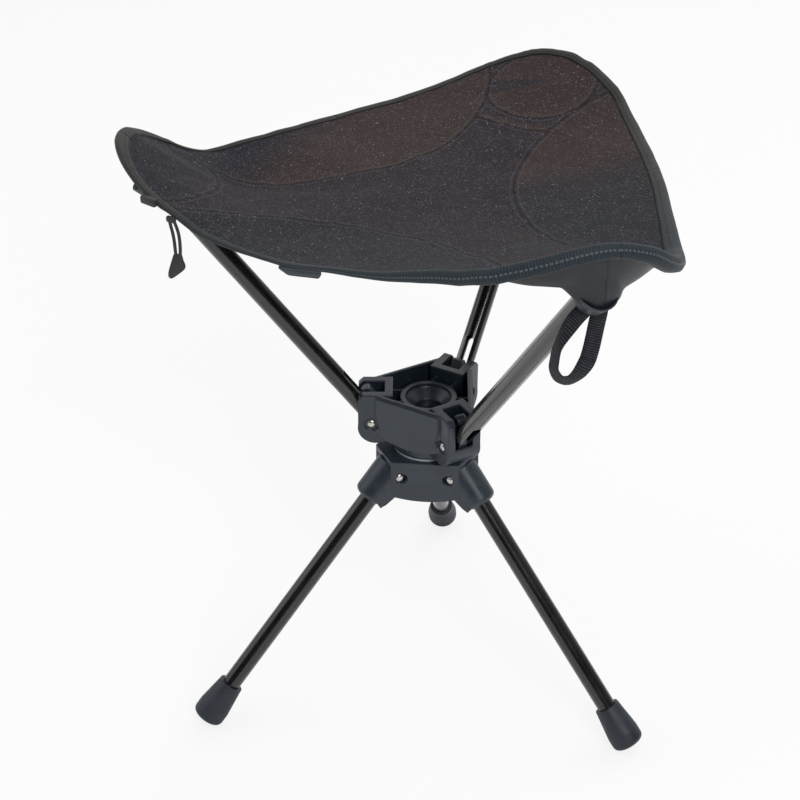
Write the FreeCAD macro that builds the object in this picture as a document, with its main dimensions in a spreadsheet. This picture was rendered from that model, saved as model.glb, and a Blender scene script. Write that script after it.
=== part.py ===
"""Tripod swivel stool: folding legs on a lower hub, folding arms on a turning upper hub, cloth seat on the arms."""
import FreeCAD, Part
import math
import os
import Sketcher

Vector = FreeCAD.Vector
doc = FreeCAD.newDocument("tripod_stool")
dim = doc.addObject("Spreadsheet::Sheet", "dim")

# Driving dimensions, in millimetres and degrees.
SIZES = (
    ("seat_turn", 25.3, "angle from a leg round to the next arm"),
    ("tube_d", 16, "outside diameter of legs and arms"),
    ("tube_wall", 1.5, "tube wall"),
    ("run_gap", 0.05, "running clearance on a pin or on the swivel bolt"),
    ("rest_gap", 0.3, "clearance between a tube and what it rests on or in"),
    ("swing_gap", 0.5, "clearance round the swinging end of a tube"),
    ("leg_slope", 50.1, "open leg below the horizontal"),
    ("leg_pivot_r", 34.3, "leg pin from the swivel axis"),
    ("leg_reach", 281, "leg pin to the end of the foot"),
    ("tube_head", 7, "tube past its pin"),
    ("foot_d", 28, "foot at its end"),
    ("foot_top_d", 21.5, "foot at its mouth"),
    ("foot_len", 39, "foot length"),
    ("foot_flare", 13, "length of the foot's widest stretch"),
    ("foot_round", 5, "rounding of the foot's end"),
    ("foot_flat", 1.2, "depth of the flat sole"),
    ("foot_sole", 7, "rubber under the tube's end"),
    ("leg_pin_drop", 16.2, "leg pin below the top of the lower hub"),
    ("washer_t", 2.5, "thrust washer"),
    ("washer_d", 60, "thrust washer diameter"),
    ("arm_pin_rise", 24.9, "arm pin above the bottom of the upper hub"),
    ("ring_rise", 44.5, "top of the centre ring above the bottom of the upper hub"),
    ("rim_rise", 53.3, "rim of the upper hub above its bottom"),
    ("arm_slope", 52.6, "open arm above the horizontal"),
    ("arm_pivot_r", 47.8, "arm pin from the swivel axis"),
    ("arm_len", 292, "arm pin to the end of the arm tube"),
    ("slot_w", 9.4, "slot in the arm's lower end"),
    ("slot_len", 48, "arm pin to the closed end of the slot"),
    ("cap_dome", 5, "tip cap past the end of the tube"),
    ("cap_plug", 14, "tip cap inside the tube"),
    ("pin_d", 5, "hinge pins"),
    ("pin_head_d", 7, "rivet heads"),
    ("pin_head_t", 1.8, "rivet head height"),
    ("recess_d", 12, "round recess at an arm pin"),
    ("recess_t", 1.5, "depth of that recess"),
    ("seat_spot_d", 10, "spot face at a leg pin"),
    ("upper_flat", 36, "axis to the side panels of the upper hub"),
    ("upper_wall", 3, "side panel of the upper hub"),
    ("belly_t", 1.4, "raised middle of a side panel"),
    ("corner_w", 31, "width of an arm socket"),
    ("corner_r", 59, "arm socket's mouth from the axis"),
    ("corner_drop", 18.4, "arm socket below its pin"),
    ("corner_root_r", 30, "inner end of an arm socket from the axis"),
    ("corner_bevel", 4, "bevel of a socket's rim"),
    ("core_d", 62, "round base of the upper hub"),
    ("core_t", 12, "thickness of that base"),
    ("web_gap", 0.5, "slot clearance beside the web"),
    ("web_foot_r", 27, "where the web leaves the centre ring"),
    ("web_foot_rise", 31, "height of the web there"),
    ("ring_d", 48, "centre ring outside"),
    ("ring_bore_d", 39, "centre ring mouth"),
    ("ring_lip", 3, "straight depth of the ring's mouth"),
    ("well_d", 23, "well of the centre ring"),
    ("well_cone", 11, "depth at which the well starts"),
    ("well_rise", 16.5, "floor of the well above the bottom of the upper hub"),
    ("rib_t", 2, "ribs of the upper hub"),
    ("lower_flat", 34, "axis to the skirt panels of the lower hub"),
    ("lower_wall", 3.5, "skirt panel"),
    ("skirt_h", 35, "skirt height at its ends"),
    ("skirt_belly", 4, "extra skirt height in the middle"),
    ("hood_d", 30, "hood over a leg"),
    ("hood_len", 33, "leg pin to the hood's end, along the leg"),
    ("hood_round", 5, "rounding of the hood's end"),
    ("hood_skirt", 8, "hood sides below the leg's centre line"),
    ("plate_t", 5, "top plate of the lower hub"),
    ("plate_r", 42, "corners of that plate from the axis"),
    ("boss_d", 26, "bolt boss under the top plate"),
    ("boss_h", 19, "top of the lower hub to the end of the boss"),
    ("bolt_d", 10, "swivel bolt"),
    ("bolt_head_d", 17, "across the flats of the bolt head and nut"),
    ("bolt_head_t", 6.4, "bolt head height"),
    ("nut_t", 8, "lock nut height"),
    ("bolt_tail", 2.5, "bolt past the nut"),
    ("flat_washer_d", 21, "flat washers"),
    ("flat_washer_t", 1.6, "flat washers"),
    ("seat_over", 14.81, "seat corner past the end of an arm"),
    ("seat_corner_round", 89, "plan rounding of the seat's corners"),
    ("seat_t", 4.5, "seat cloth and padding"),
    ("seat_sag", 31, "middle of the seat below the ends of the arms"),
    ("rim_rise_0", 50, "rim above the middle of the seat, -138 degrees from the rear corner"),
    ("rim_rise_1", 68, "rim above the middle of the seat, -125 degrees from the rear corner"),
    ("rim_rise_2", 58, "rim above the middle of the seat, -113 degrees from the rear corner"),
    ("rim_rise_3", 32, "rim above the middle of the seat, -101 degrees from the rear corner"),
    ("rim_rise_4", 27, "rim above the middle of the seat, -72 degrees from the rear corner"),
    ("rim_rise_5", 23, "rim above the middle of the seat, -44 degrees from the rear corner"),
    ("rim_rise_6", 25, "rim above the middle of the seat, -21 degrees from the rear corner"),
    ("rim_rise_7", 47, "rim above the middle of the seat, -4 degrees from the rear corner"),
    ("rim_rise_8", 43, "rim above the middle of the seat, 9 degrees from the rear corner"),
    ("rim_rise_9", 22, "rim above the middle of the seat, 27 degrees from the rear corner"),
    ("rim_rise_10", 11, "rim above the middle of the seat, 51 degrees from the rear corner"),
    ("rim_rise_11", 5, "rim above the middle of the seat, 71 degrees from the rear corner"),
    ("rim_rise_12", -2, "rim above the middle of the seat, 93 degrees from the rear corner"),
    ("rim_rise_13", 31, "rim above the middle of the seat, 107 degrees from the rear corner"),
    ("rim_rise_14", 56, "rim above the middle of the seat, 122 degrees from the rear corner"),
    ("rim_rise_15", 40, "rim above the middle of the seat, 135 degrees from the rear corner"),
    ("rim_rise_16", 14, "rim above the middle of the seat, 150 degrees from the rear corner"),
    ("rim_rise_17", 6, "rim above the middle of the seat, 168 degrees from the rear corner"),
    ("rim_rise_18", 15, "rim above the middle of the seat, 190 degrees from the rear corner"),
    ("rim_rise_19", 32, "rim above the middle of the seat, 206 degrees from the rear corner"),
    ("binding_w", 2.2, "binding outside the seat's edge"),
    ("binding_t", 8.5, "binding height"),
    ("pocket_t", 2.2, "pocket cloth"),
    ("pocket_len", 10, "pocket along the arm, back from the tube's end"),
    ("pocket_w", 96, "pocket at the seat"),
    ("pocket_flare", 20, "half depth of the pocket at the seat"),
    ("collar_t", 1.8, "pocket collar"),
    ("collar_len", 11, "collar along the arm"),
    ("loop_w", 12, "pull loop webbing width"),
    ("loop_t", 1.6, "pull loop webbing thickness"),
    ("loop_h", 62, "pull loop height"),
    ("loop_span", 38, "pull loop width across"),
    ("slider_l", 10, "zip slider length"),
    ("slider_w", 7, "zip slider width"),
    ("slider_t", 3, "zip slider thickness"),
    ("zip_cord_d", 2.2, "zip pull cord"),
    ("zip_cord_l", 26, "zip pull cord length"),
    ("tag_l", 24, "zip tag length"),
    ("tag_w", 9, "zip tag width at its end"),
    ("tag_t", 3.2, "zip tag thickness"),
)

# Places of the rim heights: the unloaded cloth hangs unevenly, in degrees from the rear corner.
RIM_TURNS = (-138, -125, -113, -101, -72, -44, -21, -4, 9, 27, 51, 71, 93, 107, 122, 135, 150, 168, 190, 206)

# Places that follow from the driving dimensions.
DERIVED = (
    ("leg_pivot_z", "leg_reach * sin(leg_slope * 1deg) + (foot_d / 2 - foot_round) * cos(leg_slope * 1deg)"
                    " - foot_round * sin(leg_slope * 1deg) + foot_round - foot_flat"),
    ("lower_top", "leg_pivot_z + leg_pin_drop"),
    ("upper_base", "lower_top + washer_t"),
    ("arm_pivot_z", "upper_base + arm_pin_rise"),
    ("swing_r", "sqrt(tube_head ^ 2 + (tube_d / 2) ^ 2) + swing_gap"),
    ("rest_off", "tube_d / 2 + rest_gap"),
    ("swing_turn", "asin(rest_off / swing_r) / 1deg"),
    ("tip_s", "arm_len + cap_dome"),
    ("tip_r", "arm_pivot_r + tip_s * cos(arm_slope * 1deg)"),
    ("tip_z", "arm_pivot_z + tip_s * sin(arm_slope * 1deg)"),
    ("foot_front", "(leg_pivot_r + leg_reach * cos(leg_slope * 1deg)) * cos((60 - seat_turn) * 1deg)"
                   " + foot_d / 2 * cos(45deg)"),
    ("seat_corner_r", "tip_r + seat_over"),
    ("seat_edge_r", "(seat_corner_r + seat_corner_round) / 2"),
    ("zip_off", "(seat_corner_r - seat_corner_round) * cos(30deg)"),
    ("seat_middle_z", "tip_z - seat_sag"),
    ("axis_y", "(foot_front - seat_corner_r - binding_w) / 2"),
)

for row, (alias, number, words) in enumerate(SIZES, 1):
    dim.set(f"A{row}", words)
    dim.set(f"B{row}", str(number))
    dim.setAlias(f"B{row}", alias)
for row, (alias, formula) in enumerate(DERIVED, 1):
    dim.set(f"D{row}", f"={formula}")
    dim.setAlias(f"D{row}", alias)
doc.recompute()


def size(alias):
    """A number from the sheet."""
    return float(dim.get(alias))


def value(expression):
    return float(dim.evalExpression(expression))


def body_on_axis(label, angle):
    """A body whose own X axis points out from the swivel axis at the given angle from +X."""
    body = doc.addObject("PartDesign::Body", label)
    body.Label = label
    turn(body, angle)
    return body


def turn(thing, angle):
    rotation = FreeCAD.Rotation(Vector(0, 0, 1), angle)
    thing.Placement = FreeCAD.Placement(Vector(0, size("axis_y"), 0), rotation)
    thing.setExpression("Placement.Base.y", "dim.axis_y")


def sketch_on(body, plane, points, axis=None, shift=None):
    """A closed sketch through pairs of expressions. A triple starting with ARC bends the side it stands in."""
    sketch = body.newObject("Sketcher::SketchObject", body.Name + "_sketch")
    origin = {feature.Role: feature for feature in body.Origin.OriginFeatures}
    sketch.AttachmentSupport = (origin[plane], [""])
    sketch.MapMode = "FlatFace"
    if shift:
        sketch.AttachmentOffset = FreeCAD.Placement(Vector(0, 0, value(shift)), FreeCAD.Rotation())
        sketch.setExpression("AttachmentOffset.Base.z", shift)
    if axis:
        sketch.addGeometry(Part.LineSegment(*[place(point) for point in axis]), True)
    corners = [point for point in points if point[0] != "ARC"]
    bends = {}
    for index, point in enumerate(points):
        if point[0] == "ARC":
            bends[corners.index(points[index - 1])] = place(point[1:])
    places = [place(point) for point in corners]
    first = sketch.GeometryCount
    for index, begin in enumerate(places):
        end = places[(index + 1) % len(places)]
        side = Part.Arc(begin, bends[index], end) if index in bends else Part.LineSegment(begin, end)
        sketch.addGeometry(side, False)
    for index, corner in enumerate(corners):
        here = nearest_end(sketch, first + index, places[index])
        before = first + (index - 1) % len(corners)
        there = nearest_end(sketch, before, places[index])
        sketch.addConstraint(Sketcher.Constraint("Coincident", before, there, first + index, here))
        for kind, expression, number in zip(("DistanceX", "DistanceY"), corner, places[index]):
            made = sketch.addConstraint(Sketcher.Constraint(kind, -1, 1, first + index, here, number))
            sketch.setExpression(f"Constraints[{made}]", expression)
    return sketch


def place(point):
    return Vector(value(point[0]), value(point[1]), 0)


def nearest_end(sketch, side, spot):
    gaps = [sketch.getPoint(side, end).distanceToPoint(spot) for end in (1, 2)]
    return 1 if gaps[0] <= gaps[1] else 2


def circle_on(body, plane, centre, radius):
    """A sketched circle about a pair of expressions."""
    sketch = body.newObject("Sketcher::SketchObject", body.Name + "_circle")
    origin = {feature.Role: feature for feature in body.Origin.OriginFeatures}
    sketch.AttachmentSupport = (origin[plane], [""])
    sketch.MapMode = "FlatFace"
    middle = place(centre)
    sketch.addGeometry(Part.Circle(middle, Vector(0, 0, 1), value(radius)), False)
    for kind, expression, number in zip(("DistanceX", "DistanceY"), centre, middle):
        made = sketch.addConstraint(Sketcher.Constraint(kind, -1, 1, 0, 3, number))
        sketch.setExpression(f"Constraints[{made}]", expression)
    made = sketch.addConstraint(Sketcher.Constraint("Radius", 0, value(radius)))
    sketch.setExpression(f"Constraints[{made}]", radius)
    return sketch


def prismatic(kind, body, sketch, length, middle=True):
    """A pad or pocket of a sketch, to both sides of it or to its own side."""
    feature = body.newObject("PartDesign::" + kind, f"{body.Name}_{kind}")
    feature.Profile = sketch
    feature.Midplane = middle
    feature.setExpression("Length", length)
    sketch.Visibility = False
    return feature


def turned(kind, body, sketch, axis="Axis0", angle=360):
    """A revolution or groove of a sketch about one of its own lines."""
    feature = body.newObject("PartDesign::" + kind, f"{body.Name}_{kind}")
    feature.Profile = sketch
    feature.ReferenceAxis = (sketch, [axis])
    feature.Angle = angle
    feature.Midplane = angle < 360
    return feature


def thrice(body, features):
    """The same features at the other two corners."""
    pattern = body.newObject("PartDesign::PolarPattern", body.Name + "_corners")
    pattern.Originals = features
    origin = {feature.Role: feature for feature in body.Origin.OriginFeatures}
    pattern.Axis = (origin["Z_Axis"], [""])
    pattern.Angle = 360
    pattern.Occurrences = 3
    body.Tip = pattern


def on_arm(along, below="0"):
    """A point of an open arm's plane: distance from its pin, distance outwards below its centre line."""
    across = f"dim.arm_pivot_r + ({along}) * cos(dim.arm_slope * 1deg) + ({below}) * sin(dim.arm_slope * 1deg)"
    up = f"dim.arm_pivot_z + ({along}) * sin(dim.arm_slope * 1deg) - ({below}) * cos(dim.arm_slope * 1deg)"
    return across, up


def on_leg(along, above="0"):
    """A point of an open leg's plane: distance from its pin, distance outwards above its centre line."""
    across = f"dim.leg_pivot_r + ({along}) * cos(dim.leg_slope * 1deg) + ({above}) * sin(dim.leg_slope * 1deg)"
    up = f"dim.leg_pivot_z - ({along}) * sin(dim.leg_slope * 1deg) + ({above}) * cos(dim.leg_slope * 1deg)"
    return across, up


def pin_hole(body, radius_from_axis, height, spot_d, spot_at, reach):
    """A cross hole for a hinge pin with a round spot face at each end."""
    wide = f"{radius_from_axis} + {spot_d} / 2"
    narrow = f"{radius_from_axis} + dim.pin_d / 2 + dim.run_gap"
    points = (
        (radius_from_axis, f"-({reach})"), (wide, f"-({reach})"), (wide, f"-({spot_at})"),
        (narrow, f"-({spot_at})"), (narrow, spot_at), (wide, spot_at), (wide, reach), (radius_from_axis, reach),
    )
    axis = ((radius_from_axis, f"-({reach})"), (radius_from_axis, reach))
    return turned("Groove", body, sketch_on(body, "XY_Plane", points, axis, height))


def make_upper_hub():
    hub = body_on_axis("upper_hub", REAR)
    bolt_r = "dim.bolt_d / 2 + dim.run_gap"
    base = "dim.upper_base"
    rim = f"{base} + dim.rim_rise"
    ring_top = f"{base} + dim.ring_rise"
    flange = "dim.upper_flat - dim.upper_wall / 2"
    core = (
        (bolt_r, base), ("dim.core_d / 2", base), ("dim.core_d / 2", f"{base} + dim.core_t / 2"),
        (flange, f"{base} + dim.core_t * 0.8"), (flange, f"{base} + dim.core_t"),
        ("dim.ring_d / 2", f"{base} + dim.core_t"), ("dim.ring_d / 2", ring_top),
        ("dim.ring_bore_d / 2", ring_top), ("dim.ring_bore_d / 2", f"{ring_top} - dim.ring_lip"),
        ("dim.well_d / 2", f"{ring_top} - dim.well_cone"), ("dim.well_d / 2", f"{base} + dim.well_rise"),
        (bolt_r, f"{base} + dim.well_rise"),
    )
    turned("Revolution", hub, sketch_on(hub, "XZ_Plane", core), "V_Axis")

    panel_half = "(2 * dim.upper_flat - dim.corner_w / 2) / sqrt(3) + dim.upper_wall"
    panel = (
        (f"-({panel_half})", rim), (panel_half, rim), (panel_half, f"{base} + dim.core_t * 1.7"),
        ("ARC", "0", f"{base} + dim.core_t * 0.75"), (f"-({panel_half})", f"{base} + dim.core_t * 1.7"),
    )
    panel_pad = prismatic("Pad", hub, sketch_on(hub, "YZ_Plane", panel, shift="-dim.upper_flat"),
                          "dim.upper_wall", False)
    top_half = "dim.upper_flat * 0.82"
    foot_half = "dim.upper_flat * 0.6"
    belly = (
        (f"-{top_half}", f"{rim} - dim.belly_t"), (top_half, f"{rim} - dim.belly_t"),
        ("ARC", f"({top_half} + {foot_half}) / 2 + dim.belly_t", "dim.arm_pivot_z + dim.belly_t"),
        (foot_half, f"{base} + dim.core_t * 1.4"),
        ("ARC", "0", f"{base} + dim.core_t * 0.85"), (f"-{foot_half}", f"{base} + dim.core_t * 1.4"),
        ("ARC", f"-({top_half} + {foot_half}) / 2 - dim.belly_t", "dim.arm_pivot_z + dim.belly_t"),
    )
    belly_pad = prismatic("Pad", hub, sketch_on(hub, "YZ_Plane", belly, shift="-dim.upper_flat - dim.belly_t"),
                          "dim.belly_t + dim.upper_wall / 2", False)

    low = "dim.arm_pivot_z - dim.corner_drop"
    corner = (
        ("dim.corner_root_r", rim), ("dim.corner_r - dim.corner_bevel", rim),
        ("dim.corner_r", f"{rim} - dim.corner_bevel"), ("dim.corner_r", "dim.arm_pivot_z"),
        ("ARC", "dim.arm_pivot_r + (dim.corner_r - dim.arm_pivot_r) * 0.7",
         "dim.arm_pivot_z - dim.corner_drop * 0.72"),
        ("dim.arm_pivot_r - dim.corner_bevel", low), ("dim.corner_root_r", low),
    )
    corner_pad = prismatic("Pad", hub, sketch_on(hub, "XZ_Plane", corner), "dim.corner_w")
    thrice(hub, [panel_pad, belly_pad, corner_pad])

    inner = "dim.arm_pivot_r - dim.swing_r"
    over = f"{rim} + dim.tube_d"
    far = "dim.slot_len * 1.3"
    channel = (
        (inner, over), (inner, "dim.arm_pivot_z - dim.swing_r"), ("dim.arm_pivot_r", "dim.arm_pivot_z - dim.swing_r"),
        ("ARC", "dim.arm_pivot_r + dim.swing_r * sin(dim.swing_turn / 2 * 1deg)",
         "dim.arm_pivot_z - dim.swing_r * cos(dim.swing_turn / 2 * 1deg)"),
        ("dim.arm_pivot_r + dim.rest_off", "dim.arm_pivot_z - dim.swing_r * cos(dim.swing_turn * 1deg)"),
        on_arm("dim.rest_off * tan((90 - dim.arm_slope) / 2 * 1deg)", "dim.rest_off"),
        on_arm(far, "dim.rest_off"), on_arm(far, "0"),
    )
    channel_cut = prismatic("Pocket", hub, sketch_on(hub, "XZ_Plane", channel), "dim.tube_d + 2 * dim.swing_gap")
    thrice(hub, [channel_cut])

    root = "dim.ring_d / 2 - dim.rib_t"
    mouth = "dim.corner_r - dim.rib_t"
    web = (
        (root, f"{base} + dim.core_t / 2"), ("dim.arm_pivot_r", "dim.arm_pivot_z - dim.swing_r - dim.rib_t"),
        (mouth, "dim.arm_pivot_z - dim.rest_off"), (mouth, f"{rim} - 2 * dim.corner_bevel"),
        ("ARC", f"{mouth} - dim.corner_bevel / 3", f"{rim} - dim.corner_bevel / 2"),
        ("dim.arm_pivot_r + dim.rib_t", rim), ("dim.web_foot_r", f"{base} + dim.web_foot_rise"),
        (root, f"{base} + dim.web_foot_rise"),
    )
    web_pad = prismatic("Pad", hub, sketch_on(hub, "XZ_Plane", web), "dim.slot_w - 2 * dim.web_gap")

    inner_walls = [web_pad]
    near = "dim.tube_d / 2 + dim.swing_gap"
    for side in ("", "-"):
        rib = (
            (root, f"{side}({near})"), ("dim.corner_root_r + dim.rib_t", f"{side}({near})"),
            ("dim.corner_root_r + dim.rib_t", f"{side}({near} + dim.rib_t)"), (root, f"{side}({near} + dim.rib_t)"),
        )
        sketch = sketch_on(hub, "XY_Plane", rib, shift=f"{base} + dim.core_t / 2")
        inner_walls.append(prismatic("Pad", hub, sketch, "dim.ring_rise - dim.core_t / 2", False))
    stub = (
        (f"-({flange})", "-dim.rib_t / 2"), (f"-({root})", "-dim.rib_t / 2"),
        (f"-({root})", "dim.rib_t / 2"), (f"-({flange})", "dim.rib_t / 2"),
    )
    sketch = sketch_on(hub, "XY_Plane", stub, shift=f"{base} + dim.core_t / 2")
    inner_walls.append(prismatic("Pad", hub, sketch, "dim.ring_rise - dim.core_t / 2 - dim.rib_t", False))
    thrice(hub, inner_walls)
    thrice(hub, [pin_hole(hub, "dim.arm_pivot_r", "dim.arm_pivot_z", "dim.recess_d",
                          "dim.corner_w / 2 - dim.recess_t", "dim.corner_w / 2 + dim.recess_d")])


def make_lower_hub():
    hub = body_on_axis("lower_hub", REAR + size("seat_turn"))
    hub.setExpression("Placement.Rotation.Angle", f"({REAR} + dim.seat_turn) * 1deg")
    bolt_r = "dim.bolt_d / 2 + dim.run_gap"
    top = "dim.lower_top"
    core = (
        (bolt_r, top), ("dim.core_d / 2", top), ("dim.core_d / 2", f"{top} - dim.plate_t"),
        ("dim.boss_d / 2", f"{top} - dim.plate_t"), ("dim.boss_d / 2", f"{top} - dim.boss_h"),
        (bolt_r, f"{top} - dim.boss_h"),
    )
    turned("Revolution", hub, sketch_on(hub, "XZ_Plane", core), "V_Axis")

    plate_half = "(2 * dim.lower_flat - dim.plate_r) / sqrt(3)"
    plate = (
        ("dim.ring_bore_d / 2", f"-({plate_half})"), ("dim.plate_r", f"-({plate_half})"),
        ("dim.plate_r", plate_half), ("dim.ring_bore_d / 2", plate_half),
    )
    plate_pad = prismatic("Pad", hub, sketch_on(hub, "XY_Plane", plate, shift=f"{top} - dim.plate_t"),
                          "dim.plate_t", False)
    skirt_half = f"dim.plate_r * cos(30deg) - ({plate_half}) / 2"
    skirt = (
        (f"-({skirt_half})", top), (skirt_half, top), (skirt_half, f"{top} - dim.skirt_h"),
        ("ARC", "0", f"{top} - dim.skirt_h - dim.skirt_belly"), (f"-({skirt_half})", f"{top} - dim.skirt_h"),
    )
    skirt_pad = prismatic("Pad", hub, sketch_on(hub, "YZ_Plane", skirt, shift="-dim.lower_flat"),
                          "dim.lower_wall", False)
    ledge = (
        ("-dim.lower_flat", f"-({skirt_half})"), ("-dim.boss_d / 2", f"-({skirt_half})"),
        ("-dim.boss_d / 2", skirt_half), ("-dim.lower_flat", skirt_half),
    )
    ledge_pad = prismatic("Pad", hub, sketch_on(hub, "XY_Plane", ledge, shift=f"{top} - dim.plate_t"),
                          "dim.plate_t", False)

    start = "(dim.hood_d / 2 * cos(dim.leg_slope * 1deg) - dim.leg_pin_drop) / sin(dim.leg_slope * 1deg)"
    block = (
        ("dim.boss_d / 2", top), on_leg(start, "dim.hood_d / 2"), on_leg("dim.tube_head", "0"),
        on_leg("dim.hood_len - dim.hood_round", "0"), on_leg("dim.hood_len", "-dim.hood_round"),
        on_leg("dim.hood_len - dim.hood_round", "-dim.hood_skirt"),
        ("dim.leg_pivot_r", f"{top} - dim.skirt_h"), ("dim.boss_d / 2", f"{top} - dim.skirt_h"),
    )
    block_pad = prismatic("Pad", hub, sketch_on(hub, "XZ_Plane", block), "dim.hood_d")
    round_at = "dim.hood_len - dim.hood_round"
    back = "-dim.tube_head / 2"
    hood = (
        on_leg(back), on_leg(back, "dim.hood_d / 2"), on_leg(round_at, "dim.hood_d / 2"),
        ("ARC",) + on_leg(f"{round_at} + dim.hood_round * sin(45deg)",
                          "dim.hood_d / 2 - dim.hood_round * (1 - sin(45deg))"),
        on_leg("dim.hood_len", "dim.hood_d / 2 - dim.hood_round"), on_leg("dim.hood_len"),
    )
    axis = (on_leg(back), on_leg("dim.hood_len"))
    hood_turn = turned("Revolution", hub, sketch_on(hub, "XZ_Plane", hood, axis), angle=180)
    thrice(hub, [plate_pad, ledge_pad, skirt_pad, block_pad, hood_turn])

    roof = "dim.leg_pivot_z + dim.swing_r"
    inner = "dim.leg_pivot_r - dim.swing_r"
    channel = (
        (inner, roof), ("dim.leg_pivot_r", roof),
        ("ARC", "dim.leg_pivot_r + dim.swing_r * sin(dim.swing_turn / 2 * 1deg)",
         "dim.leg_pivot_z + dim.swing_r * cos(dim.swing_turn / 2 * 1deg)"),
        ("dim.leg_pivot_r + dim.rest_off", "dim.leg_pivot_z + dim.swing_r * cos(dim.swing_turn * 1deg)"),
        on_leg("dim.rest_off * tan((90 - dim.leg_slope) / 2 * 1deg)", "dim.rest_off"),
        on_leg("dim.hood_len * 3", "dim.rest_off"), (inner, on_leg("dim.hood_len * 3", "dim.rest_off")[1]),
    )
    channel_cut = prismatic("Pocket", hub, sketch_on(hub, "XZ_Plane", channel), "dim.tube_d + 2 * dim.swing_gap")
    hole = pin_hole(hub, "dim.leg_pivot_r", "dim.leg_pivot_z", "dim.seat_spot_d", LEG_PIN_HALF, "dim.hood_d")
    thrice(hub, [channel_cut, hole])


def make_ring(label, inner, outer, low, high):
    """A plain ring round the swivel axis."""
    ring = body_on_axis(label, REAR)
    points = ((inner, low), (outer, low), (outer, high), (inner, high))
    turned("Revolution", ring, sketch_on(ring, "XZ_Plane", points), "V_Axis")


def cylinder(label, radius, low, high):
    solid = doc.addObject("Part::Cylinder", label)
    solid.setExpression("Radius", radius)
    solid.setExpression("Height", f"({high}) - ({low})")
    solid.setExpression("Placement.Base.z", low)
    return solid


def hexagon(label, across_flats, low, high):
    solid = doc.addObject("Part::Prism", label)
    solid.Polygon = 6
    solid.setExpression("Circumradius", f"{across_flats} / sqrt(3)")
    solid.setExpression("Height", f"({high}) - ({low})")
    solid.setExpression("Placement.Base.z", low)
    return solid


def make_swivel():
    floor = "dim.upper_base + dim.well_rise"
    seat = f"{floor} + dim.flat_washer_t"
    boss_end = "dim.lower_top - dim.boss_h"
    nut_top = f"{boss_end} - dim.flat_washer_t"
    tail = f"{nut_top} - dim.nut_t - dim.bolt_tail"
    bolt_r = "dim.bolt_d / 2"
    loose = f"{bolt_r} + dim.run_gap"
    washer_r = "dim.flat_washer_d / 2"
    make_ring("thrust_washer", loose, "dim.washer_d / 2", "dim.lower_top", "dim.upper_base")
    make_ring("top_washer", loose, washer_r, floor, seat)
    make_ring("lower_washer", loose, washer_r, nut_top, boss_end)
    bolt = doc.addObject("Part::MultiFuse", "swivel_bolt")
    bolt.Label = "swivel_bolt"
    bolt.Shapes = [
        cylinder("bolt_shank", bolt_r, tail, f"{seat} + dim.bolt_head_t / 2"),
        hexagon("bolt_head", "dim.bolt_head_d", seat, f"{seat} + dim.bolt_head_t"),
    ]
    turn(bolt, REAR)
    nut = doc.addObject("Part::Cut", "lock_nut")
    nut.Label = "lock_nut"
    nut.Base = hexagon("nut_body", "dim.bolt_head_d", f"{nut_top} - dim.nut_t", nut_top)
    nut.Tool = cylinder("nut_bore", bolt_r, f"{nut_top} - 2 * dim.nut_t", f"{nut_top} + dim.nut_t")
    turn(nut, REAR)


def make_pin(label, angle, across, height, half):
    """A hinge pin with a domed head at each end, across the body's own Y axis."""
    pin = body_on_axis(label, angle)
    shank = f"{across} + dim.pin_d / 2"
    edge = f"{across} + dim.pin_head_d / 2"
    crown = f"{half} + dim.pin_head_t"
    bulge = f"{half} + dim.pin_head_t * 0.8"
    lean = f"{across} + dim.pin_head_d * 0.34"
    flat = f"{across} + dim.pin_head_d * 0.12"
    points = (
        (across, f"-({crown})"), (flat, f"-({crown})"), ("ARC", lean, f"-({bulge})"),
        (edge, f"-({half} + dim.pin_head_t / 3)"), (edge, f"-({half})"), (shank, f"-({half})"),
        (shank, half), (edge, half), (edge, f"{half} + dim.pin_head_t / 3"), ("ARC", lean, bulge),
        (flat, crown), (across, crown),
    )
    axis = ((across, f"-({crown})"), (across, crown))
    turned("Revolution", pin, sketch_on(pin, "XY_Plane", points, axis, height))


def tube(label, angle, point_at, begin, end):
    """A plain tube along an arm or a leg, drilled for its pin."""
    body = body_on_axis(label, angle)
    outside = "dim.tube_d / 2"
    inside = "dim.tube_d / 2 - dim.tube_wall"
    points = (point_at(begin, inside), point_at(end, inside), point_at(end, outside), point_at(begin, outside))
    axis = (point_at(begin), point_at(end))
    turned("Revolution", body, sketch_on(body, "XZ_Plane", points, axis))
    hole = circle_on(body, "XZ_Plane", point_at("0"), "dim.pin_d / 2 + dim.run_gap")
    prismatic("Pocket", body, hole, "dim.tube_d * 2")
    return body


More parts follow.
